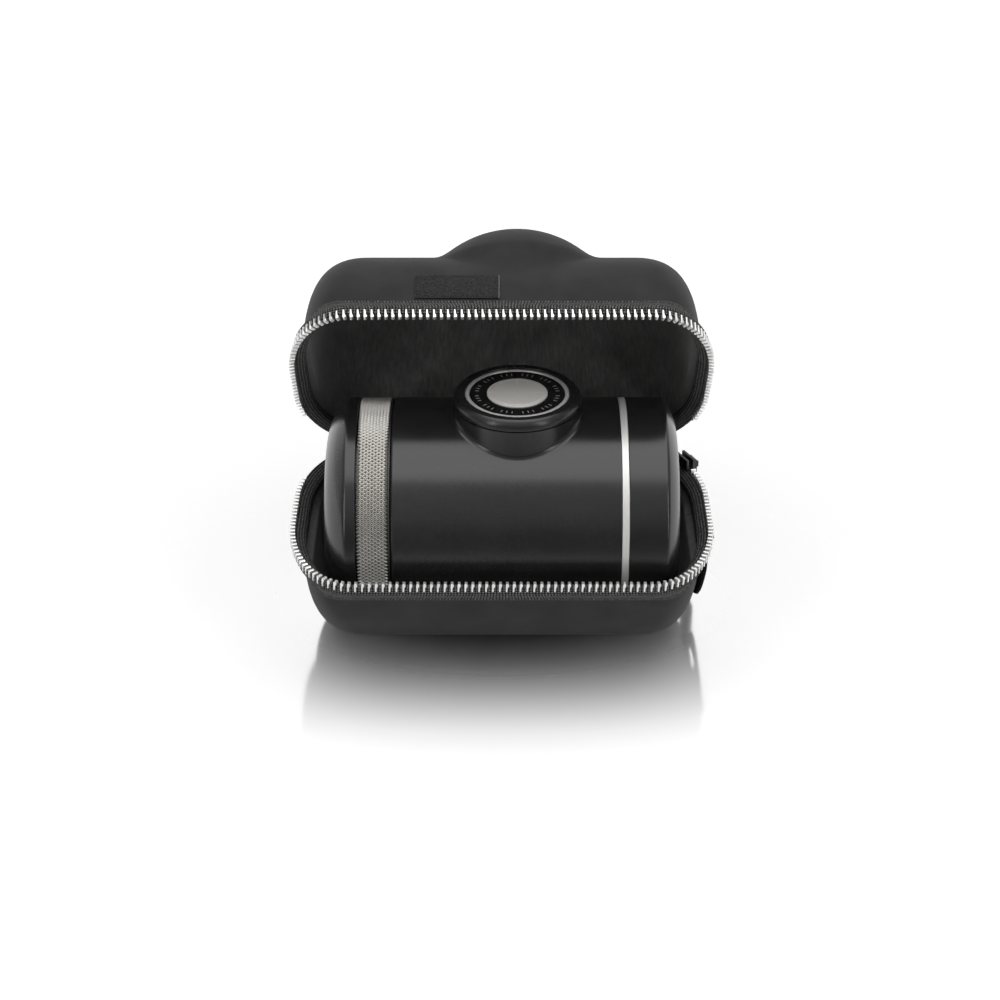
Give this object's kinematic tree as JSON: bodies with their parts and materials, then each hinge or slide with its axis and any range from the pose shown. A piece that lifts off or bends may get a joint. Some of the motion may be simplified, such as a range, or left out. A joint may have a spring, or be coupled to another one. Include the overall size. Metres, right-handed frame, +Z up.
{
  "type": "handheld manual espresso maker",
  "caption": "Cylindrical hand-pumped espresso maker with a round pump knob, lying in its fitted zip case with the lid open.",
  "frame": {"origin": "centre of the flat underside of the case, on the surface it lies on", "axes": "+X along the maker, from the portafilter to the water tank; +Y from the front of the case to its hinge; +Z up"},
  "size_m": [0.1339, 0.11, 0.1169],
  "materials": {
    "graphite_plastic": "semi-matte, fine grain",
    "cap_plastic": "semi-matte",
    "knob_plastic": "satin",
    "satin_steel": "satin, turned",
    "knurled_steel": "diamond knurl",
    "bright_steel": "polished",
    "dial_print": "gloss, plain ticks",
    "seal_rubber": "plain",
    "shell_fabric": "moulded foam with a smooth knit skin",
    "lining_fleece": "brushed fleece",
    "tape_weave": "woven tape",
    "label_weave": "woven, plain bars",
    "zip_metal": "plated"
  },
  "bodies": {
    "case_base": {"case_base_shell": "shell_fabric", "base_lining": "lining_fleece", "base_zip_tape": "tape_weave", "base_zip_teeth": "zip_metal", "hinge_strip": "tape_weave", "zip_slider": "zip_metal", "main_body": "graphite_plastic", "steel_band": "satin_steel", "chamber_gasket": "seal_rubber", "shower_plate": "satin_steel", "pump_liner": "satin_steel", "guide_bush": "cap_plastic", "return_spring": "satin_steel", "outlet_valve": "seal_rubber", "inlet_valve": "seal_rubber"},
    "case_lid": {"case_lid_shell": "shell_fabric", "lid_lining": "lining_fleece", "lid_zip_tape": "tape_weave", "lid_zip_teeth": "zip_metal", "woven_label": "label_weave"},
    "plunger": {"piston_rod": "satin_steel", "piston_head": "cap_plastic", "piston_seal": "seal_rubber"},
    "knob": {"piston_knob": "knob_plastic", "knob_bezel": "bright_steel", "knob_dial": "dial_print", "knob_badge": "satin_steel"},
    "brew_head": {"portafilter": "cap_plastic", "knurled_ring": "knurled_steel", "basket": "satin_steel"},
    "cover": {"portafilter_cover": "cap_plastic"},
    "tank_cap": {"tank_lid": "cap_plastic", "tank_lid_seal": "seal_rubber"},
    "loop": {"side_loop": "tape_weave"},
    "pull": {"zip_pull": "zip_metal"}
  },
  "joints": [
    {"name": "lid_hinge", "type": "hinge", "parent": "case_base", "child": "case_lid", "pos_m": [0, 0.0435, 0.0375], "axis": [-1, 0, 0], "range_deg": [-54.9, 90]},
    {"name": "piston_slide", "type": "slide", "parent": "case_base", "child": "plunger", "axis": [0, 0, 1], "range_m": [0, 0.022], "deforming": ["return_spring"]},
    {"name": "knob_twist", "type": "hinge", "parent": "plunger", "child": "knob", "pos_m": [0.00475, 0, 0.077], "axis": [0, 0, 1], "range_deg": [0, 60]},
    {"name": "portafilter_twist", "type": "hinge", "parent": "case_base", "child": "brew_head", "pos_m": [-0.038, 0, 0.0385], "axis": [1, 0, 0], "range_deg": [0, 60]},
    {"name": "cover_twist", "type": "hinge", "parent": "brew_head", "child": "cover", "pos_m": [-0.046, 0, 0.0385], "axis": [1, 0, 0], "range_deg": [0, 90]},
    {"name": "tank_lid_twist", "type": "hinge", "parent": "case_base", "child": "tank_cap", "pos_m": [0.046, 0, 0.0385], "axis": [1, 0, 0], "range_deg": [0, 180]},
    {"name": "side_loop_swing", "type": "hinge", "parent": "case_base", "child": "loop", "pos_m": [0.066, 0, 0.033], "axis": [0, -1, 0], "range_deg": [0, 100]},
    {"name": "zip_pull_swing", "type": "hinge", "parent": "case_base", "child": "pull", "pos_m": [0.06252, 0.03237, 0.0375], "axis": [0.4488, -0.8936, 0], "range_deg": [0, 150]}
  ]
}
